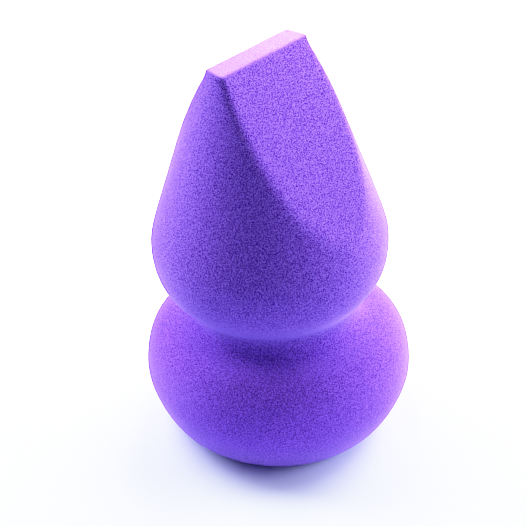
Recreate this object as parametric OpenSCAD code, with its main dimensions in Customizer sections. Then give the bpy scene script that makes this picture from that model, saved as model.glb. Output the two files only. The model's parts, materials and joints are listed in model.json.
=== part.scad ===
// Makeup sponge: a gourd-shaped cushion of soft foam with a chisel end.
// X runs along the chisel's ridge, the front cut faces -Y and +Z is up.
// The origin is the centre of the flat sole that the sponge stands on.
// The sponge is one moulding. Its sub-parts are the zones between which it flexes,
// and they meet face to face on flat planes, with no joint line.

/* [Lower lobe] */
// Diameter of the flat sole
sole_d = 28; // [22:0.5:31]
// Largest diameter of the lower lobe
lower_d = 40.6; // [37:0.2:46]
// Height of the lower lobe's largest diameter above the sole
lower_widest_z = 9.4; // [8:0.1:12]

/* [Waist] */
// Diameter at the bottom of the crease
waist_d = 25; // [20:0.5:29]
// Height of the bottom of the crease above the sole
waist_z = 20.1; // [18.5:0.1:21.5]
// Height of the flexing zone below the bottom of the crease
flex_below = 4.4; // [3:0.1:4.6]
// Height of the flexing zone above the bottom of the crease
flex_above = 4.4; // [3:0.1:4.6]

/* [Upper lobe] */
// Largest diameter of the upper lobe
upper_d = 35.8; // [32:0.1:38]
// Height of the upper lobe's largest diameter, along the head's own axis
upper_widest_z = 31.5; // [29:0.1:34]
// Angle by which the head leans back about the centre of the sole
head_lean = 3.5; // [0:0.1:6]

/* [Chisel end] */
// Height of the ridge above the sole, along the head's own axis
ridge_z = 62; // [56:0.5:68]
// Diameter of the head's round outline at the height of the ridge
end_d = 17.6; // [14:0.2:20]
// Slope of the head's round sides below the ridge, from upright
side_slope = 15; // [12:0.1:18]
// Distance from the head's axis to the front edge of the ridge
ridge_front = 0.8; // [0.5:0.1:2.5]
// Distance from the head's axis to the rear edge of the ridge
ridge_rear = 2.8; // [1:0.1:3.5]
// Slope of the flat front cut, from upright
front_slope = 32.1; // [27:0.1:35]
// Slope of the flat rear cut, from upright
rear_slope = 31; // [27:0.1:35]

/* [Chisel tip] */
// Length of the tip that turns, down from the ridge
tip_l = 8; // [6:0.5:10]
// Height of the flexing zone under the tip
tip_root_l = 6; // [4.5:0.5:8]

/* [Hidden] */

foam = "#7a4cdc";
$fn = 96;

// Each stretch of the outline is one cubic curve. Its two handles are shares of the
// height or the width that the stretch crosses, except where a comment says otherwise.
sole_out_share = 0.58;
sole_down_share = 0.145;
shoulder_up_share = 1.11;
shoulder_down_share = 0.375;
underside_up_share = 0.265;
underside_down_share = 0.77;
side_up_share = 0.108;
// Share of the side's height that its straight upper handle runs down
side_straight_share = 0.59;

// Steps along each curve, and sides round the waist
curve_steps = 12;
waist_sides = 60;

// How far a cut runs past what it cuts
overrun = 5;
// Clearance that keeps the waist's leaning upper face from rounding into the head
face_clearance = 0.01;

sole_r = sole_d / 2;
lower_r = lower_d / 2;
waist_r = waist_d / 2;
upper_r = upper_d / 2;
end_r = end_d / 2;

shoulder_h = waist_z - lower_widest_z;
underside_h = upper_widest_z - waist_z;
side_h = ridge_z - upper_widest_z;

flex_low_z = waist_z - flex_below;
flex_high_z = waist_z + flex_above;
waist_top_z = flex_high_z - face_clearance;
tip_z = ridge_z - tip_l;
tip_root_z = tip_z - tip_root_l;

// Points along a cubic curve, from its first control point to its last
function curve(p) = [
    for (i = [0:curve_steps])
        let (t = i / curve_steps, u = 1 - t)
        u * u * u * p[0] + 3 * u * u * t * p[1] + 3 * u * t * t * p[2] + t * t * t * p[3]
];

// All points but the first, for a curve that starts where the last one ended
function rest(points) = [for (i = [1:len(points) - 1]) points[i]];

// A rise from 0 to 1 that starts and ends level
function ease(t) = t * t * (3 - 2 * t);

sole_curve = curve([
    [sole_r, 0],
    [sole_r + sole_out_share * (lower_r - sole_r), 0],
    [lower_r, (1 - sole_down_share) * lower_widest_z],
    [lower_r, lower_widest_z]
]);
shoulder_curve = curve([
    [lower_r, lower_widest_z],
    [lower_r, lower_widest_z + shoulder_up_share * shoulder_h],
    [waist_r, waist_z - shoulder_down_share * shoulder_h],
    [waist_r, waist_z]
]);
underside_curve = curve([
    [waist_r, waist_z],
    [waist_r, waist_z + underside_up_share * underside_h],
    [upper_r, upper_widest_z - underside_down_share * underside_h],
    [upper_r, upper_widest_z]
]);
side_curve = curve([
    [upper_r, upper_widest_z],
    [upper_r, upper_widest_z + side_up_share * side_h],
    [end_r + side_straight_share * side_h * sin(side_slope),
        ridge_z - side_straight_share * side_h * cos(side_slope)],
    [end_r, ridge_z]
]);

lower_outline = concat(sole_curve, rest(shoulder_curve));
head_outline = concat(underside_curve, rest(side_curve));
whole_outline = concat(lower_outline, rest(head_outline));

// Radius of the outline at a height
function outline_r(z) = lookup(z, [for (p = whole_outline) [p[1], p[0]]]);

// A solid of revolution under an outline that starts at the axis' low end z0
module turned(outline, z0, z1) {
    rotate_extrude() polygon(concat([[0, z0]], outline, [[0, z1]]));
}

// A level slice of the space, wider than the sponge
module slice(z0, z1) {
    translate([0, 0, z0]) cylinder(r = lower_r + overrun, h = z1 - z0);
}

// The whole head above the crease, upright: a round teardrop with two flat cuts
module head_form() {
    cut_w = upper_d + 2 * overrun;
    difference() {
        turned(head_outline, waist_z, ridge_z);
        translate([0, -ridge_front, ridge_z])
            rotate([-front_slope, 0, 0])
                translate([-cut_w / 2, -cut_w, -ridge_z])
                    cube([cut_w, cut_w, ridge_z + overrun]);
        translate([0, ridge_rear, ridge_z])
            rotate([rear_slope, 0, 0])
                translate([-cut_w / 2, 0, -ridge_z])
                    cube([cut_w, cut_w, ridge_z + overrun]);
    }
}

// The part of the leaning head between two heights on its own axis
module head_zone(z0, z1) {
    rotate([-head_lean, 0, 0])
        intersection() {
            head_form();
            slice(z0, z1);
        }
}

// The wide cushion with the flat sole
module lower_lobe() {
    color(foam)
        intersection() {
            turned(lower_outline, 0, waist_z);
            slice(0, flex_low_z);
        }
}

// The narrow neck in the crease, whose rings lean more and more, up to the head's lean
module waist() {
    rings = concat(
        [[outline_r(flex_low_z), flex_low_z]],
        [for (p = whole_outline) if (p[1] > flex_low_z && p[1] < waist_top_z) p],
        [[outline_r(waist_top_z), waist_top_z]]
    );
    last = len(rings) - 1;
    points = [
        for (ring = rings)
            let (lean = head_lean * ease((ring[1] - flex_low_z) / (waist_top_z - flex_low_z)))
            for (k = [0:waist_sides - 1])
                let (
                    turn = 360 * k / waist_sides,
                    x = ring[0] * cos(turn),
                    y = ring[0] * sin(turn),
                    z = ring[1]
                )
                [x, y * cos(lean) + z * sin(lean), z * cos(lean) - y * sin(lean)]
    ];
    low_face = [for (k = [0:waist_sides - 1]) k];
    high_face = [for (k = [waist_sides - 1:-1:0]) last * waist_sides + k];
    sides = [
        for (i = [0:last - 1])
            for (k = [0:waist_sides - 1])
                let (
                    a = i * waist_sides + k,
                    b = i * waist_sides + (k + 1) % waist_sides,
                    c = a + waist_sides,
                    d = b + waist_sides
                )
                for (face = [[a, c, b], [b, c, d]]) face
    ];
    color(foam) polyhedron(points, concat([low_face, high_face], sides));
}

// The teardrop head with the lower parts of both flat cuts
module upper_lobe() {
    color(foam) head_zone(flex_high_z, tip_root_z);
}

// The flexing zone under the tip
module tip_root() {
    color(foam) head_zone(tip_root_z, tip_z);
}

// The thin chisel tip and its flat ridge
module chisel_tip() {
    color(foam) head_zone(tip_z, ridge_z);
}

lower_lobe();
waist();
upper_lobe();
tip_root();
chisel_tip();
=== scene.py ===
# %% [markdown]
# # A makeup sponge
#
# A gourd-shaped cushion of dyed polyurethane foam: a wide lobe to hold, a narrow waist
# and a teardrop head. Two flat cuts leave the head a thin chisel tip with a narrow ridge.
# Nothing is sewn, glued or screwed on, so every visible shape here is one skin of foam.
#
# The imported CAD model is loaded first. It gives the real size, the bodies that move and
# the joints between them, and the foam below is built around it without moving it.

import json
import math

import bmesh
import bpy
import numpy as np
from mathutils import Matrix, Vector

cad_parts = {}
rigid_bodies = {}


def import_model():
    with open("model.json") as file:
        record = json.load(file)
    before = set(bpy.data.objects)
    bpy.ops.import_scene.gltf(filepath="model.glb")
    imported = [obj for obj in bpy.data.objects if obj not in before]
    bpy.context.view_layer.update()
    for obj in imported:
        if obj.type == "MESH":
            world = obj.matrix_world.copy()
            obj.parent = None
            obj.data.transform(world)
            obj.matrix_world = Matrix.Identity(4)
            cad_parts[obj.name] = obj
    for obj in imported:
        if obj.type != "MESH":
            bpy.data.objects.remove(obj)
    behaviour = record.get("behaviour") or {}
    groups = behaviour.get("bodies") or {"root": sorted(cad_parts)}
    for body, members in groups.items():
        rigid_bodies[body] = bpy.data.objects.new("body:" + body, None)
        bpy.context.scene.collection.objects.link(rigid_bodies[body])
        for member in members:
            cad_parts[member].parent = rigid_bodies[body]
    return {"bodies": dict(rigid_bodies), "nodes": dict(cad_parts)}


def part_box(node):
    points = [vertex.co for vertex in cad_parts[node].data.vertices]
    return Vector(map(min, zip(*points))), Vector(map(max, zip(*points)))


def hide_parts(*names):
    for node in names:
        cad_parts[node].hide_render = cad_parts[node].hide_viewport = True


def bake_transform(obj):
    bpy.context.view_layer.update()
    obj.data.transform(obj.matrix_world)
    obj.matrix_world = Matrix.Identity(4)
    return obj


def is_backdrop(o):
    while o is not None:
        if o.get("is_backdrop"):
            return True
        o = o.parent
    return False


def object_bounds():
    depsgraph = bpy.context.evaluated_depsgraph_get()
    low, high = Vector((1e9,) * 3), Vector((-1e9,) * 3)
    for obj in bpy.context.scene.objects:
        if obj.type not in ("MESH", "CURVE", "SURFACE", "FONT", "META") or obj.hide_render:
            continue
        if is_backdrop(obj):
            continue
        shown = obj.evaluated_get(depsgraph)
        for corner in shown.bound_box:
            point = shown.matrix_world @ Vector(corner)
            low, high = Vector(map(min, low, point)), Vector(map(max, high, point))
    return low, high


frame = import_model()
cad_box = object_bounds()

MM = 0.001
bodies = ", ".join(frame["bodies"])
print(f"CAD model: {len(frame['nodes'])} zones of foam on the bodies {bodies}")

# %% [markdown]
# ## The camera
#
# The photograph looks down at the sponge from 35 degrees above the floor, through a long
# lens, so what is nearer looks only a little larger. A camera can be aimed with a
# constraint or by typing three angles. Here it is placed by the direction it looks from
# and turned towards a point in the middle of the sponge, because those are the numbers
# that can be measured in the photograph.

# %% Camera
VIEW_AZIMUTH = math.radians(-46.1)
VIEW_ELEVATION = math.radians(35)
VIEW_DISTANCE = 320 * MM
VIEW_TARGET = Vector((-1.66, 1.73, 27.35)) * MM
NEAREST_SEEN = 10 * MM
# Blender wants the lens and the width of its sensor in millimetres.
LENS = 145.2
SENSOR = 36


def link(obj):
    """Puts an object into the scene."""
    bpy.context.scene.collection.objects.link(obj)
    return obj


across_floor = Vector((math.sin(VIEW_AZIMUTH), -math.cos(VIEW_AZIMUTH), 0))
to_camera = across_floor * math.cos(VIEW_ELEVATION) + Vector((0, 0, math.sin(VIEW_ELEVATION)))

camera = link(bpy.data.objects.new("camera", bpy.data.cameras.new("camera")))
camera.location = VIEW_TARGET + to_camera * VIEW_DISTANCE
camera.rotation_euler = to_camera.to_track_quat("Z", "Y").to_euler()
camera.data.lens = LENS
camera.data.sensor_width = SENSOR
camera.data.clip_start = NEAREST_SEEN
bpy.context.scene.camera = camera
print(f"Camera {VIEW_DISTANCE / MM:.0f} mm away, {math.degrees(VIEW_ELEVATION):.1f} degrees up")

# %% [markdown]
# ## The outline
#
# Such a sponge is turned or moulded round, so one outline describes it: out along the
# flat sole, up the lower lobe, into the waist, out to the head and up to the tip. The
# outline could be a polygon, but a Bezier curve needs only one point at each widest and
# narrowest place, and its handles keep the foam's curves fair. The widths and heights
# that the CAD model shows are measured on it. The others repeat its driving sizes, and
# the handles are shares of the height or width that their stretch crosses.

# %% Sizes measured on the CAD model
def widest_point(node):
    """The point of a CAD node that lies furthest along X, where a round lobe is widest."""
    return max((v.co for v in frame["nodes"][node].data.vertices), key=lambda co: co.x)


lower_widest = widest_point("lower_lobe")
upper_widest = widest_point("upper_lobe")
lower_r = lower_widest.x
lower_widest_z = lower_widest.z
upper_r = upper_widest.x
head_lean = math.atan2(upper_widest.y, upper_widest.z)
upper_widest_z = math.hypot(upper_widest.y, upper_widest.z)
head_axis = Vector((0, math.sin(head_lean), math.cos(head_lean)))


def heights_on_head(node):
    """The lowest and the highest point of a CAD node, as heights along the leaning head's axis."""
    heights = [v.co @ head_axis for v in frame["nodes"][node].data.vertices]
    return min(heights), max(heights)


lean_from_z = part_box("lower_lobe")[1].z
lean_to_z = heights_on_head("upper_lobe")[0]
tip_root_z = heights_on_head("tip_root")[0]
ridge_z = heights_on_head("chisel_tip")[1]
print(f"Lobes {2 * lower_r / MM:.1f} and {2 * upper_r / MM:.1f} mm wide, head leans "
      f"{math.degrees(head_lean):.1f} degrees")

# %% Sizes repeated from the CAD model's drawing
sole_r = 14 * MM
waist_r = 12.5 * MM
waist_z = 20.1 * MM
end_r = 8.8 * MM
ridge_front = 0.8 * MM
ridge_rear = 2.8 * MM
side_slope = math.radians(15)
front_slope = math.radians(32.1)
rear_slope = math.radians(31)

SOLE_OUT_SHARE = 0.58
SOLE_DOWN_SHARE = 0.145
SHOULDER_UP_SHARE = 1.11
SHOULDER_DOWN_SHARE = 0.375
UNDERSIDE_UP_SHARE = 0.265
UNDERSIDE_DOWN_SHARE = 0.77
SIDE_UP_SHARE = 0.108
# The straight upper handle of the side runs down its slope by this share of the height.
SIDE_STRAIGHT_SHARE = 0.59

shoulder_h = waist_z - lower_widest_z
underside_h = upper_widest_z - waist_z
side_h = ridge_z - upper_widest_z
straight = SIDE_STRAIGHT_SHARE * side_h
print(f"Sole {2 * sole_r / MM:.0f} mm and waist {2 * waist_r / MM:.0f} mm wide, ridge "
      f"{(ridge_front + ridge_rear) / MM:.1f} mm thick")

# %% Outline
# Each row is a point of the outline: the handle before it, the point and the handle
# after it, each as a radius and a height.
outline_points = [
    ((0, 0), (0, 0), (sole_r / 3, 0)),
    ((sole_r * 2 / 3, 0), (sole_r, 0), (sole_r + SOLE_OUT_SHARE * (lower_r - sole_r), 0)),
    ((lower_r, (1 - SOLE_DOWN_SHARE) * lower_widest_z),
     (lower_r, lower_widest_z),
     (lower_r, lower_widest_z + SHOULDER_UP_SHARE * shoulder_h)),
    ((waist_r, waist_z - SHOULDER_DOWN_SHARE * shoulder_h),
     (waist_r, waist_z),
     (waist_r, waist_z + UNDERSIDE_UP_SHARE * underside_h)),
    ((upper_r, upper_widest_z - UNDERSIDE_DOWN_SHARE * underside_h),
     (upper_r, upper_widest_z),
     (upper_r, upper_widest_z + SIDE_UP_SHARE * side_h)),
    ((end_r + straight * math.sin(side_slope), ridge_z - straight * math.cos(side_slope)),
     (end_r, ridge_z),
     (end_r * 2 / 3, ridge_z)),
    ((end_r / 3, ridge_z), (0, ridge_z), (0, ridge_z)),
]

OUTLINE_STEPS = 40

outline = bpy.data.curves.new("sponge_outline", "CURVE")
outline.dimensions = "3D"
outline.resolution_u = OUTLINE_STEPS
spline = outline.splines.new("BEZIER")
spline.bezier_points.add(len(outline_points) - 1)
for point, (before, at, after) in zip(spline.bezier_points, outline_points):
    point.handle_left_type = point.handle_right_type = "FREE"
    point.handle_left = (before[0], 0, before[1])
    point.co = (at[0], 0, at[1])
    point.handle_right = (after[0], 0, after[1])
print(f"Outline: {len(outline_points)} points, {spline.calc_length() / MM:.1f} mm long")

# %% [markdown]
# ## Helpers for node trees
#
# The form, its relief, its colour, the light of the room and the finish of the picture
# are all node trees. They could be drawn by hand in Blender's editors, but written down
# they can be read and run again. One function adds a node: its settings are properties
# of the node, and its inputs are either linked or typed in. Two more make a Geometry
# Nodes tree with named inputs and set those inputs on a modifier.

# %% Add a node
def add_node(tree, kind, inputs=None, **settings):
    """A new node of a tree. An input takes a value, a socket, or a node for its first output."""
    node = tree.nodes.new(kind)
    for name, value in settings.items():
        setattr(node, name, value)
    for name, value in (inputs or {}).items():
        if isinstance(value, bpy.types.Node):
            value = next(socket for socket in value.outputs if socket.enabled)
        if isinstance(value, bpy.types.NodeSocket):
            tree.links.new(value, node.inputs[name])
        else:
            node.inputs[name].default_value = value
    return node


# %% Trees with named inputs
def new_geometry_tree(name, inputs):
    """A Geometry Nodes tree that takes a geometry and the named inputs and gives a geometry."""
    tree = bpy.data.node_groups.new(name, "GeometryNodeTree")
    for title, kind in {"Geometry": "Geometry", **inputs}.items():
        tree.interface.new_socket(title, in_out="INPUT", socket_type=f"NodeSocket{kind}")
    tree.interface.new_socket("Geometry", in_out="OUTPUT", socket_type="NodeSocketGeometry")
    return tree


def set_inputs(modifier, values):
    """Sets a Geometry Nodes modifier's inputs. It knows each one by its socket's identifier."""
    identifiers = {item.name: item.identifier
                   for item in modifier.node_group.interface.items_tree
                   if item.item_type == "SOCKET" and item.in_out == "INPUT"}
    for name, value in values.items():
        modifier[identifiers[name]] = value


# %% [markdown]
# ## The form: turn the outline, lean the head, make the flat cuts
#
# The chisel end of a round blank is made with two straight strokes of a blade. A lathe
# modifier and two boolean cubes in the scene would do the same, but a Geometry Nodes
# tree keeps all of it in one place with named sizes. A grid is laid out with one
# direction along the outline and the other round the axis. Above the waist each ring
# leans back a little more than the one below it, and then two blocks take the cuts away.

# %% Rings that turn and lean
def turned_place(tree, sizes):
    """Where a point of the grid goes: X runs along the outline, Y round the upright axis."""
    spread = add_node(tree, "ShaderNodeSeparateXYZ", {
        0: add_node(tree, "GeometryNodeInputPosition")}).outputs
    along = add_node(tree, "ShaderNodeMath", {0: spread["X"], 1: 0.5}, operation="ADD")
    around = add_node(tree, "ShaderNodeMath", {0: spread["Y"], 1: 0.5}, operation="ADD")
    turn = add_node(tree, "ShaderNodeMath", {0: around, 1: math.tau}, operation="MULTIPLY")
    drawn = add_node(tree, "GeometryNodeSampleCurve", {
        "Curves": sizes["Geometry"], "Factor": along}, mode="FACTOR").outputs["Position"]
    lean = add_node(tree, "ShaderNodeMapRange", {
        "Value": add_node(tree, "ShaderNodeSeparateXYZ", {0: drawn}).outputs["Z"],
        "From Min": sizes["Lean From"], "From Max": sizes["Lean To"],
        "To Min": 0.0, "To Max": sizes["Lean"]}, interpolation_type="SMOOTHSTEP")
    upright = add_node(tree, "ShaderNodeVectorRotate", {
        "Vector": drawn, "Angle": turn}, rotation_type="Z_AXIS")
    return add_node(tree, "ShaderNodeVectorRotate", {
        "Vector": upright, "Angle": lean}, rotation_type="X_AXIS")


# %% The block that a blade takes away
def blade_block(tree, sizes, end, side):
    """A block on one side of the ridge's edge, about which it tilts, leaning with the head."""
    unit = add_node(tree, "GeometryNodeMeshCube", {"Size": (1.0, 1.0, 1.0)})
    beside = add_node(tree, "GeometryNodeTransform", {
        "Geometry": unit, "Translation": (0.0, side / 2, 0.0)})
    grown = add_node(tree, "GeometryNodeTransform", {"Geometry": beside, "Scale": sizes["Blade"]})
    edge = add_node(tree, "ShaderNodeCombineXYZ", {
        "Y": sizes[f"{end} Edge"], "Z": sizes["Ridge Height"]})
    tilt = add_node(tree, "ShaderNodeCombineXYZ", {"X": sizes[f"{end} Slope"]})
    tilted = add_node(tree, "GeometryNodeTransform", {
        "Geometry": grown, "Translation": edge,
        "Rotation": add_node(tree, "FunctionNodeEulerToRotation", {0: tilt})})
    lean = add_node(tree, "ShaderNodeCombineXYZ", {"X": sizes["Lean"]})
    return add_node(tree, "GeometryNodeTransform", {
        "Geometry": tilted, "Rotation": add_node(tree, "FunctionNodeEulerToRotation", {0: lean})})


# %% Form tree
# The grid closes on itself, so points that lie this close together become one.
JOIN_GAP = 0.001 * MM

form_tree = new_geometry_tree("Turned and cut sponge", {
    "Rings": "Int", "Sides": "Int", "Lean": "Float", "Lean From": "Float", "Lean To": "Float",
    "Ridge Height": "Float", "Front Edge": "Float", "Rear Edge": "Float",
    "Front Slope": "Float", "Rear Slope": "Float", "Blade": "Float",
})
sizes = add_node(form_tree, "NodeGroupInput").outputs
grid = add_node(form_tree, "GeometryNodeMeshGrid", {
    "Size X": 1.0, "Size Y": 1.0, "Vertices X": sizes["Rings"], "Vertices Y": sizes["Sides"]})
wrapped = add_node(form_tree, "GeometryNodeSetPosition", {
    "Geometry": grid, "Position": turned_place(form_tree, sizes)})
joined = add_node(form_tree, "GeometryNodeMergeByDistance", {
    "Geometry": wrapped, "Distance": JOIN_GAP})
cut = add_node(form_tree, "GeometryNodeMeshBoolean", {"Mesh 1": joined},
               operation="DIFFERENCE", solver="MANIFOLD")
for end, side in (("Front", -1), ("Rear", 1)):
    block = blade_block(form_tree, sizes, end, side)
    form_tree.links.new(block.outputs["Geometry"], cut.inputs["Mesh 2"])
real = add_node(form_tree, "GeometryNodeRealizeInstances", {"Geometry": cut})
add_node(form_tree, "NodeGroupOutput", {0: real})
print(f"Form tree: {len(form_tree.nodes)} nodes")

# %% Turn and cut the form
RINGS = 260
SIDES = 240
BLADE = 100 * MM


def baked_mesh(obj):
    """The object's mesh with its modifiers applied, as a plain mesh of its own."""
    depsgraph = bpy.context.evaluated_depsgraph_get()
    return bpy.data.meshes.new_from_object(obj.evaluated_get(depsgraph))


blank = link(bpy.data.objects.new("sponge_blank", outline))
form = blank.modifiers.new("Turn and cut", "NODES")
form.node_group = form_tree
# Turns are about X, where a negative one leans back, and the front lies at negative Y.
set_inputs(form, {
    "Rings": RINGS, "Sides": SIDES, "Blade": BLADE,
    "Lean": -head_lean, "Lean From": lean_from_z, "Lean To": lean_to_z,
    "Ridge Height": ridge_z, "Front Edge": -ridge_front, "Rear Edge": ridge_rear,
    "Front Slope": -front_slope, "Rear Slope": rear_slope,
})
form_mesh = baked_mesh(blank)
bpy.data.objects.remove(blank)
print(f"Form: {len(form_mesh.polygons)} faces")

# %% [markdown]
# ## Even faces for the foam
#
# The turned grid has long faces on the sides and slivers at the cuts, and foam needs
# faces of one size all over, so that every open cell is drawn alike. Subdividing would
# keep the slivers. The Remesh modifier rebuilds the skin from small cubes, and takes
# about one cube off each cut edge.

# %% Remesh
FACE_SIZE = 0.23 * MM

foam = link(bpy.data.objects.new("foam", form_mesh))
remesh = foam.modifiers.new("Even faces", "REMESH")
remesh.mode = "VOXEL"
remesh.voxel_size = FACE_SIZE
remesh.use_smooth_shade = True
even_mesh = baked_mesh(foam)
foam.modifiers.clear()
foam.data = even_mesh
print(f"Skin: {len(even_mesh.polygons)} faces of about {FACE_SIZE / MM:.2f} mm")

# %% [markdown]
# ## Hydrophilic polyurethane foam
#
# The real material is a dyed, very fine open-cell polyurethane foam. Its cells are under
# half a millimetre wide. Each is a dark pit between paler walls, so from a step away the
# surface looks matt and velvety, with a fine even grain, and it glows a little where it
# turns away from the eye, because the cell walls stand up like a short pile. Image
# textures could carry the grain, but a procedural one has no seams and no tiling. The
# shader takes its place from an attribute that the skin keeps, so that the grain stays
# on the foam when the foam bends.
#
# Three places look different, and all three are painted light. The lower lobe is painted a
# little brighter and smoother than the head, as painted bounce light from the floor, which
# is nearer to it. The ridge is painted smoother and paler, a painted highlight for the
# strong light on top that washes its grain out. Near the sole the foam is painted paler
# still, a painted glow for light that the floor throws back through it. Scattering under
# the skin would show that glow, but it draws a line where two pieces of skin meet, so the
# painted glow stands in for it.

# %% Colours
def linear(hex_colour):
    """An sRGB hex colour as linear red, green, blue and alpha, which is what shaders expect."""
    channels = [int(hex_colour[i:i + 2], 16) / 255 for i in (1, 3, 5)]
    return tuple(c / 12.92 if c <= 0.04045 else ((c + 0.055) / 1.055) ** 2.4
                 for c in channels) + (1.0,)


CELL_WALL = "#8459d6"
CELL_PIT = "#430a8a"
# Painted bounce light: the lower lobe's cell walls are brighter.
LOBE_PAINTED_BOUNCE = "#8b55e6"
# A painted glow: the cell walls near the sole are paler.
SOLE_PAINTED_GLOW = "#a67cf0"
PILE_SHEEN = "#a483fa"
print(f"Dye: {CELL_WALL} on the cell walls, {CELL_PIT} in the pits")

# %% Grain
# The photo's grain repeats every 3 pixels, which is 0.45 mm on the sponge. These finer
# cells and specks come out at that size when pixels of 0.15 mm draw them.
CELL_SIZE = 0.26 * MM
GRAIN_SIZE = 0.15 * MM
CLUMP_SIZE = 1.2 * MM
BUMP_DEPTH = 0.006 * MM
PLACE = "foam_place"


def foam_grain(tree, place):
    """How far a place stands up: from pits to cell walls, with specks on both."""
    cells = add_node(tree, "ShaderNodeTexVoronoi", {
        "Vector": place, "Scale": 1 / CELL_SIZE}, feature="F1")
    specks = add_node(tree, "ShaderNodeTexNoise", {
        "Vector": place, "Scale": 1 / GRAIN_SIZE, "Detail": 0.0})
    walls = add_node(tree, "ShaderNodeMapRange", {
        "Value": cells, "From Min": 0.1, "From Max": 0.9, "To Min": 0.0, "To Max": 0.8})
    speckle = add_node(tree, "ShaderNodeMapRange", {
        "Value": specks, "From Min": 0.2, "From Max": 0.8, "To Min": -0.8, "To Max": 1.0})
    return add_node(tree, "ShaderNodeMath", {0: walls, 1: speckle}, operation="ADD")


def foam_clumps(tree, place):
    """How the dye varies from clump to clump of cells."""
    clumps = add_node(tree, "ShaderNodeTexNoise", {
        "Vector": place, "Scale": 1 / CLUMP_SIZE, "Detail": 1.0})
    return add_node(tree, "ShaderNodeMapRange", {
        "Value": clumps, "From Min": 0.3, "From Max": 0.7, "To Min": -0.04, "To Max": 0.04})


print(f"Foam cells {CELL_SIZE / MM:.2f} mm, bump {BUMP_DEPTH / MM:.3f} mm deep")

# %% Lower lobe, ridge and sole
# How much of the grain is closed over on each, and over what length it changes. All
# three are painted light: painted bounce light on the lower lobe, a painted glow near the
# sole and a painted highlight on the ridge.
LOBE_BOUNCE_CLOSED = 0.12
LOBE_EDGE = 2 * MM
# Painted highlight: the ridge's grain is closed over where strong light washes it out.
RIDGE_HIGHLIGHT_CLOSED = 0.45
RIDGE_EDGE = 0.2 * MM
SOLE_GLOW_CLOSED = 0.3
SOLE_GLOW_Z = 8 * MM


def foam_zones(tree, place):
    """Shares of painted light at a place: bounce on the lower lobe, glow near the sole, highlight on
    the ridge.
    """
    height = add_node(tree, "ShaderNodeSeparateXYZ", {0: place}).outputs["Z"]
    bounce_on_lobe = add_node(tree, "ShaderNodeMapRange", {
        "Value": height, "From Min": waist_z - LOBE_EDGE, "From Max": waist_z + LOBE_EDGE,
        "To Min": 1.0, "To Max": 0.0}, interpolation_type="SMOOTHSTEP")
    glow_near_sole = add_node(tree, "ShaderNodeMapRange", {
        "Value": height, "From Min": 0.0, "From Max": SOLE_GLOW_Z,
        "To Min": 1.0, "To Max": 0.0}, interpolation_type="SMOOTHSTEP")
    along_head = add_node(tree, "ShaderNodeVectorMath", {
        0: place, 1: tuple(head_axis)}, operation="DOT_PRODUCT")
    ridge_painted_highlight = add_node(tree, "ShaderNodeMapRange", {
        "Value": along_head,
        "From Min": ridge_z - 2 * RIDGE_EDGE, "From Max": ridge_z - RIDGE_EDGE,
        "To Min": 0.0, "To Max": RIDGE_HIGHLIGHT_CLOSED}, interpolation_type="SMOOTHSTEP")
    return bounce_on_lobe, glow_near_sole, ridge_painted_highlight


# The paler dye near the sole is a painted glow, and the lower lobe's painted bounce light ends at
# the waist.
print(f"The dye pales below {SOLE_GLOW_Z / MM:.0f} mm, the lobe ends at {waist_z / MM:.1f} mm")

# %% Foam material
CLOSED_TONE = 0.8


def foam_material():
    """Matt violet foam: pits and walls in two tones of the dye, bumped, with a velvet sheen, and
    painted light on the lower lobe, the sole and the ridge.
    """
    material = bpy.data.materials.new("polyurethane_foam")
    material.use_nodes = True
    tree = material.node_tree
    tree.nodes.clear()
    place = add_node(tree, "ShaderNodeAttribute", attribute_name=PLACE).outputs["Vector"]
    grain = foam_grain(tree, place)
    bounce_on_lobe, glow_near_sole, ridge_painted_highlight = foam_zones(tree, place)
    open_tone = add_node(tree, "ShaderNodeMath", {
        0: grain, 1: foam_clumps(tree, place)}, operation="ADD", use_clamp=True)
    # Painted light: the lower lobe, the sole and the ridge close their grain over, which lifts and
    # smooths them.
    closed = add_node(tree, "ShaderNodeMath", {
        0: bounce_on_lobe, 1: LOBE_BOUNCE_CLOSED, 2: ridge_painted_highlight}, operation="MULTIPLY_ADD")
    closed = add_node(tree, "ShaderNodeMath", {
        0: glow_near_sole, 1: SOLE_GLOW_CLOSED, 2: closed}, operation="MULTIPLY_ADD")
    tone = add_node(tree, "ShaderNodeMix", {"Factor": closed, "A": open_tone, "B": CLOSED_TONE})
    # Painted light in the dye: brighter walls on the lower lobe for the floor's bounce, paler still
    # near the sole for its glow.
    wall = add_node(tree, "ShaderNodeMix", {
        "Factor": bounce_on_lobe, "A": linear(CELL_WALL), "B": linear(LOBE_PAINTED_BOUNCE)}, data_type="RGBA")
    painted_glow_colour = add_node(tree, "ShaderNodeMix", {
        "Factor": glow_near_sole, "A": wall, "B": linear(SOLE_PAINTED_GLOW)}, data_type="RGBA")
    dye = add_node(tree, "ShaderNodeMix", {
        "Factor": tone, "A": linear(CELL_PIT), "B": painted_glow_colour}, data_type="RGBA")
    bump = add_node(tree, "ShaderNodeBump", {
        "Strength": 1.0, "Distance": BUMP_DEPTH, "Height": grain})
    shader = add_node(tree, "ShaderNodeBsdfPrincipled", {
        "Base Color": dye, "Normal": bump,
        "Roughness": 0.9, "Specular IOR Level": 0.1, "IOR": 1.45,
        "Sheen Weight": 1.0, "Sheen Roughness": 0.45, "Sheen Tint": linear(PILE_SHEEN)})
    add_node(tree, "ShaderNodeOutputMaterial", {"Surface": shader})
    return material


polyurethane_foam = foam_material()
print(f"Foam material: {len(polyurethane_foam.node_tree.nodes)} nodes")

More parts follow.
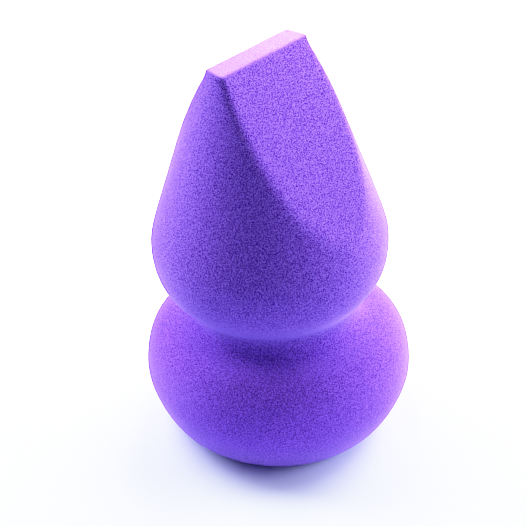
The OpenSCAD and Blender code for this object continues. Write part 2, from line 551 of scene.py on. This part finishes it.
# %% [markdown]
# ## Relief
#
# Bump only bends the light. The grain that shows at the outline, and the slight swells
# of a soft moulding, have to be in the mesh. Sculpting them by hand would never look
# even, so a second tree moves each point along its normal by noise of three sizes. It
# first blurs the places of the points, which rounds the edges of the cuts as soft foam
# rounds them. The ridge stays crisp, as it is in the photograph, and the sole stays flat
# where the sponge stands. This tree also gives the foam its material, because a remeshed
# skin has none.

# %% Relief tree
def uneven(tree, place, size, depth, detail):
    """Noise of one size, from minus its depth to its depth."""
    scale = add_node(tree, "ShaderNodeMath", {0: 1.0, 1: size}, operation="DIVIDE")
    noise = add_node(tree, "ShaderNodeTexNoise", {"Vector": place, "Scale": scale, "Detail": detail})
    centred = add_node(tree, "ShaderNodeMapRange", {"Value": noise, "To Min": -1.0})
    return add_node(tree, "ShaderNodeMath", {0: centred, 1: depth}, operation="MULTIPLY")


relief_tree = new_geometry_tree("Foam relief", {
    "Softening": "Int", "Crispness": "Float", "Head Axis": "Vector",
    "Crisp Height": "Float", "Soft Height": "Float", "Flat Height": "Float",
    "Cell Size": "Float", "Cell Depth": "Float", "Clump Size": "Float", "Clump Depth": "Float",
    "Swell Size": "Float", "Swell Depth": "Float", "Material": "Material",
})
sizes = add_node(relief_tree, "NodeGroupInput").outputs
place = add_node(relief_tree, "GeometryNodeInputPosition")
along_head = add_node(relief_tree, "ShaderNodeVectorMath", {
    0: place, 1: sizes["Head Axis"]}, operation="DOT_PRODUCT")
softness = add_node(relief_tree, "ShaderNodeMapRange", {
    "Value": along_head, "From Min": sizes["Soft Height"], "From Max": sizes["Crisp Height"],
    "To Min": 1.0, "To Max": sizes["Crispness"]}, interpolation_type="SMOOTHSTEP")
blurred = add_node(relief_tree, "GeometryNodeBlurAttribute", {
    "Value": place, "Iterations": sizes["Softening"], "Weight": softness},
    data_type="FLOAT_VECTOR")
softened = add_node(relief_tree, "GeometryNodeSetPosition", {
    "Geometry": sizes["Geometry"], "Position": blurred})
wave = 0.0
for kind, detail in (("Cell", 1.0), ("Clump", 2.0), ("Swell", 1.0)):
    one = uneven(relief_tree, place, sizes[f"{kind} Size"], sizes[f"{kind} Depth"], detail)
    wave = add_node(relief_tree, "ShaderNodeMath", {0: wave, 1: one}, operation="ADD")
above_floor = add_node(relief_tree, "ShaderNodeMapRange", {
    "Value": add_node(relief_tree, "ShaderNodeSeparateXYZ", {0: place}).outputs["Z"],
    "From Min": 0.0, "From Max": sizes["Flat Height"]}, interpolation_type="SMOOTHSTEP")
rise = add_node(relief_tree, "ShaderNodeMath", {0: wave, 1: above_floor}, operation="MULTIPLY")
outwards = add_node(relief_tree, "ShaderNodeVectorMath", {
    0: add_node(relief_tree, "GeometryNodeInputNormal"), "Scale": rise}, operation="SCALE")
raised = add_node(relief_tree, "GeometryNodeSetPosition", {
    "Geometry": softened, "Offset": outwards})
kept = add_node(relief_tree, "GeometryNodeStoreNamedAttribute", {
    "Geometry": raised, "Name": PLACE, "Value": place}, data_type="FLOAT_VECTOR", domain="POINT")
real = add_node(relief_tree, "GeometryNodeRealizeInstances", {"Geometry": kept})
dressed = add_node(relief_tree, "GeometryNodeSetMaterial", {
    "Geometry": real, "Material": sizes["Material"]})
add_node(relief_tree, "NodeGroupOutput", {0: dressed})
print(f"Relief tree: {len(relief_tree.nodes)} nodes")

# %% Raise the relief
# Softening is how many times the blur passes, and Crispness is its weight at the ridge.
RIDGE_CRISP = 0.3 * MM
RIDGE_SOFT = 2 * MM

relief = foam.modifiers.new("Relief", "NODES")
relief.node_group = relief_tree
set_inputs(relief, {
    "Softening": 32, "Crispness": 0.02, "Head Axis": tuple(head_axis),
    "Crisp Height": ridge_z - RIDGE_CRISP, "Soft Height": ridge_z - RIDGE_SOFT,
    "Cell Size": 0.6 * MM, "Cell Depth": 0.006 * MM,
    "Clump Size": 2.4 * MM, "Clump Depth": 0.02 * MM,
    "Swell Size": 14 * MM, "Swell Depth": 0.12 * MM,
    "Flat Height": 1.2 * MM, "Material": polyurethane_foam,
})
skin = baked_mesh(foam)
bpy.data.objects.remove(foam)
print(f"Skin with relief: {len(skin.vertices)} points")

# %% [markdown]
# ## Three pieces that bend
#
# The foam is one piece, but a skin can bend across only one joint. So it is parted where
# the bodies need it: deep in the crease, where no one looks, and just under the tip. The
# parts share their cut rings point for point, and both keep the normals of the whole
# skin there, so that no line shows. Each part is closed with a cap, because a mesh that
# is printed or weighed has to be a solid.

# %% Keep the whole skin's normals
NORMAL = "whole_normal"

normals = np.zeros(len(skin.vertices) * 3, np.float32)
skin.vertex_normals.foreach_get("vector", normals)
skin.attributes.new(NORMAL, "FLOAT_VECTOR", "POINT").data.foreach_set("vector", normals)
print(f"Normals kept at {len(skin.vertices)} points")

# %% Cut and close
def cut_off(bm, at, normal):
    """Removes what lies beyond a plane, on the side of its normal, and caps the opening."""
    everything = bm.verts[:] + bm.edges[:] + bm.faces[:]
    bmesh.ops.bisect_plane(bm, geom=everything, dist=0, plane_co=at, plane_no=normal,
                           clear_outer=True)
    rim = [edge for edge in bm.edges if edge.is_boundary]
    cap = bmesh.ops.contextual_create(bm, geom=rim)["faces"]
    for face in cap:
        face.smooth = False
    return bmesh.ops.poke(bm, faces=cap)["faces"]


def part_of_skin(name, planes):
    """A closed piece of the skin, cut off at each plane, with the whole skin's normals."""
    bm = bmesh.new()
    bm.from_mesh(skin)
    cap_faces = []
    for at, normal in planes:
        cap_faces += [(face, normal) for face in cut_off(bm, at, normal)]
    bm.faces.ensure_lookup_table()
    bm.faces.index_update()
    flat = {face.index: normal for face, normal in cap_faces}
    mesh = bpy.data.meshes.new(name)
    bm.to_mesh(mesh)
    bm.free()
    kept = mesh.attributes[NORMAL].data
    corners = []
    for face in mesh.polygons:
        for vertex in face.vertices:
            corners.append(flat[face.index] if face.index in flat else kept[vertex].vector)
    mesh.normals_split_custom_set([Vector(n).normalized() for n in corners])
    mesh.attributes.remove(mesh.attributes[NORMAL])
    mesh.materials.append(polyurethane_foam)
    return link(bpy.data.objects.new(name, mesh))


# %% Lower, head and tip foam
half_lean = Matrix.Rotation(-head_lean / 2, 3, "X")
crease_up = half_lean @ Vector((0, 0, 1))
crease = crease_up * waist_z
tip_root = head_axis * tip_root_z

lower_foam = part_of_skin("lower_foam", [(crease, crease_up)])
head_foam = part_of_skin("head_foam", [(crease, -crease_up), (tip_root, head_axis)])
tip_foam = part_of_skin("tip_foam", [(tip_root, -head_axis)])
for piece in (lower_foam, head_foam, tip_foam):
    bm = bmesh.new()
    bm.from_mesh(piece.data)
    open_edges = sum(not edge.is_manifold for edge in bm.edges)
    print(f"{piece.name}: {len(piece.data.polygons)} faces, {open_edges} open edges, "
          f"{bm.calc_volume() / MM ** 3:.0f} mm3")
    bm.free()
bpy.data.meshes.remove(skin)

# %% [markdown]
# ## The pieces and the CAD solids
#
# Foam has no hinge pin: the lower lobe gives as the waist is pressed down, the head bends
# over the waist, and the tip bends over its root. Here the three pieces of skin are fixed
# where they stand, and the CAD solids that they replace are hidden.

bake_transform(lower_foam)
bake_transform(head_foam)
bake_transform(tip_foam)
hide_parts("lower_lobe")
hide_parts("waist", "upper_lobe")
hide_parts("tip_root", "chisel_tip")

# %% [markdown]
# ## White paper
#
# The photograph is a product shot on white: the paper is as bright as paper can be, and
# it throws light back at the side towards the camera. Real paper would curve up behind
# the sponge. A flat sheet is simpler and looks right from all sides, as long as it has
# no horizon. So for the camera alone it fades into the white room as it gets further
# from the sponge.

# %% Floor
# The exposure that the film below shows as white
WHITE_POINT = 2.4
# Uncoated paper is matt, and its brighteners make it faintly blue.
PAPER = "#e0e8ff"
FLOOR_HALF = 450 * MM
FADE_FROM = 150 * MM
FADE_TO = 320 * MM

corners = [(-FLOOR_HALF, -FLOOR_HALF, 0), (FLOOR_HALF, -FLOOR_HALF, 0),
           (FLOOR_HALF, FLOOR_HALF, 0), (-FLOOR_HALF, FLOOR_HALF, 0)]
floor_mesh = bpy.data.meshes.new("floor")
floor_mesh.from_pydata(corners, [], [(0, 1, 2, 3)])
floor = link(bpy.data.objects.new("floor", floor_mesh))
white_paper = bpy.data.materials.new("white_paper")
white_paper.use_nodes = True
tree = white_paper.node_tree
tree.nodes.clear()
paper = add_node(tree, "ShaderNodeBsdfPrincipled", {
    "Base Color": linear(PAPER), "Roughness": 1.0, "Specular IOR Level": 0.0})
away = add_node(tree, "ShaderNodeVectorMath", {
    0: add_node(tree, "ShaderNodeTexCoord").outputs["Object"]}, operation="LENGTH")
fade = add_node(tree, "ShaderNodeMapRange", {
    "Value": away, "From Min": FADE_FROM, "From Max": FADE_TO}, interpolation_type="SMOOTHSTEP")
ray = add_node(tree, "ShaderNodeLightPath").outputs["Is Camera Ray"]
amount = add_node(tree, "ShaderNodeMath", {0: fade, 1: ray}, operation="MULTIPLY")
glow = add_node(tree, "ShaderNodeEmission", {"Strength": WHITE_POINT})
faded = add_node(tree, "ShaderNodeMixShader", {0: amount, 1: paper, 2: glow})
add_node(tree, "ShaderNodeOutputMaterial", {"Surface": faded})
floor_mesh.materials.append(white_paper)
floor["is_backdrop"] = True
print(f"Floor: white paper {2 * FLOOR_HALF / MM:.0f} mm wide")

# %% [markdown]
# ## Light
#
# The photograph is overexposed on purpose. The outline glows and the side towards the
# camera is the darkest, so the light comes from behind and from the sides: five wide
# panels stand low around the sponge there, and three smaller ones close above the tip
# light the ridge. All are daylight lamps, a little blue. A ring light or a bare world
# would be simpler, but both flatten the round forms.

# %% Softboxes
PANEL_FAR = 600 * MM
PANEL_SIDE = 350 * MM
CLOSE_FAR = 180 * MM
CLOSE_SIDE = 120 * MM
RIDGE_FAR = 73 * MM
RIDGE_SIDE = 25 * MM
DAYLIGHT = (0.92, 0.93, 1.0)


def softbox(name, distance, side, turn, rise, watts):
    """A square panel aimed at the sponge. Turn 0 is the camera's side and 90 its right."""
    data = bpy.data.lights.new(name, "AREA")
    data.shape = "SQUARE"
    data.size = side
    data.energy = watts
    data.color = DAYLIGHT
    around = VIEW_AZIMUTH + math.radians(turn)
    up = math.radians(rise)
    way = Vector((math.sin(around) * math.cos(up), -math.cos(around) * math.cos(up), math.sin(up)))
    light = link(bpy.data.objects.new(name, data))
    light.location = VIEW_TARGET + way * distance
    light.rotation_euler = way.to_track_quat("Z", "Y").to_euler()
    light.visible_camera = False


softbox("backdrop", PANEL_FAR, PANEL_SIDE, turn=180, rise=4, watts=6.2)
softbox("backdrop_right", PANEL_FAR, PANEL_SIDE, turn=150, rise=4, watts=10.2)
softbox("rear_right", PANEL_FAR, PANEL_SIDE, turn=120, rise=4, watts=7.2)
softbox("side_right", PANEL_FAR, PANEL_SIDE, turn=90, rise=18, watts=3.15)
softbox("rear_left", PANEL_FAR, PANEL_SIDE, turn=-120, rise=18, watts=6.0)
softbox("ridge_right", CLOSE_FAR, CLOSE_SIDE, turn=120, rise=50, watts=0.39)
softbox("ridge_left", CLOSE_FAR, CLOSE_SIDE, turn=-120, rise=50, watts=0.45)
softbox("ridge_back", RIDGE_FAR, RIDGE_SIDE, turn=180, rise=64, watts=0.09)
print(f"{len(bpy.data.lights)} softboxes")

# %% [markdown]
# ## Room and film
#
# The room fills the shadows with a faint blue light, and the camera sees it as white as
# the paper. The picture is developed like a photograph: dark tones stay as they are, and
# bright ones bend over softly and reach white at a set exposure. That is why the
# brightest foam looks pink, because its blue has stopped rising while its red goes on.
# Filmic or AgX would bend the tones too, but they also take colour out of the dark side.

# %% Room
FILL = 0.06
FILL_TINT = (0.72, 0.84, 1.3, 1)

room = bpy.data.worlds.new("white_room")
bpy.context.scene.world = room
room.use_nodes = True
tree = room.node_tree
tree.nodes.clear()
seen = add_node(tree, "ShaderNodeBackground", {"Color": (1, 1, 1, 1), "Strength": WHITE_POINT})
lit = add_node(tree, "ShaderNodeBackground", {"Color": FILL_TINT, "Strength": FILL})
ray = add_node(tree, "ShaderNodeLightPath").outputs["Is Camera Ray"]
both = add_node(tree, "ShaderNodeMixShader", {0: ray, 1: lit, 2: seen})
add_node(tree, "ShaderNodeOutputWorld", {"Surface": both})
print(f"Room fill {FILL}")

# %% Film
SHOULDER = 4.0
CURVE_STEPS = 12


def film(light):
    """How bright an exposure comes out: as it is when dark, bending towards 1 when bright."""
    return light / (1 + light ** SHOULDER) ** (1 / SHOULDER)


view = bpy.context.scene.view_settings
view.view_transform = "Standard"
view.use_curve_mapping = True
view.curve_mapping.white_level = (WHITE_POINT,) * 3
tones = view.curve_mapping.curves[3]
for step in range(1, CURVE_STEPS):
    share = step / CURVE_STEPS
    tones.points.new(share, film(share * WHITE_POINT) / film(WHITE_POINT))
view.curve_mapping.update()
print(f"Film: white at an exposure of {WHITE_POINT}")

# %% [markdown]
# ## Flare and sharpening
#
# Inside a lens some of the light of a bright background spreads over what is next to it,
# which lifts the dark tones of the sponge, and a camera sharpens the picture that it
# saves. Mist in the air could imitate the flare, but it would be slow and noisy. The
# compositor does both after the render: a blurred copy of the picture is mixed in, and
# then the edges are sharpened a little. What is brighter than white is cut down to white
# first, or it would flare too much.

# %% Flare and sharpening
FLARE = 0.11
FLARE_PERCENT = 3.5
SHARPENING = 0.05

scene = bpy.context.scene
scene.use_nodes = True
desk = scene.node_tree
desk.nodes.clear()
picture = add_node(desk, "CompositorNodeRLayers").outputs["Image"]
exposed = add_node(desk, "CompositorNodeMixRGB", {
    0: 1.0, 1: picture, 2: (WHITE_POINT, WHITE_POINT, WHITE_POINT, 1)}, blend_type="DARKEN")
spread = add_node(desk, "CompositorNodeBlur", {"Image": exposed}, filter_type="GAUSS",
                  use_relative=True, factor_x=FLARE_PERCENT, factor_y=FLARE_PERCENT)
flared = add_node(desk, "CompositorNodeMixRGB", {0: FLARE, 1: exposed, 2: spread})
crisp = add_node(desk, "CompositorNodeFilter", {
    "Fac": SHARPENING, "Image": flared}, filter_type="SHARPEN")
add_node(desk, "CompositorNodeComposite", {"Image": crisp})
print(f"Flare {FLARE} over {FLARE_PERCENT} percent of the picture, sharpening {SHARPENING}")

# %% [markdown]
# ## Measure
#
# The foam stands in for the CAD solids, so its box should be as large as theirs. Both
# boxes are written down side by side, so that a difference shows after each render.

# %% Measure and finish
visual_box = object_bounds()
for name, (low, high) in (("CAD", cad_box), ("visual", visual_box)):
    print(f"{name} box: {[round(c / MM, 2) for c in (*low, *high)]} mm")
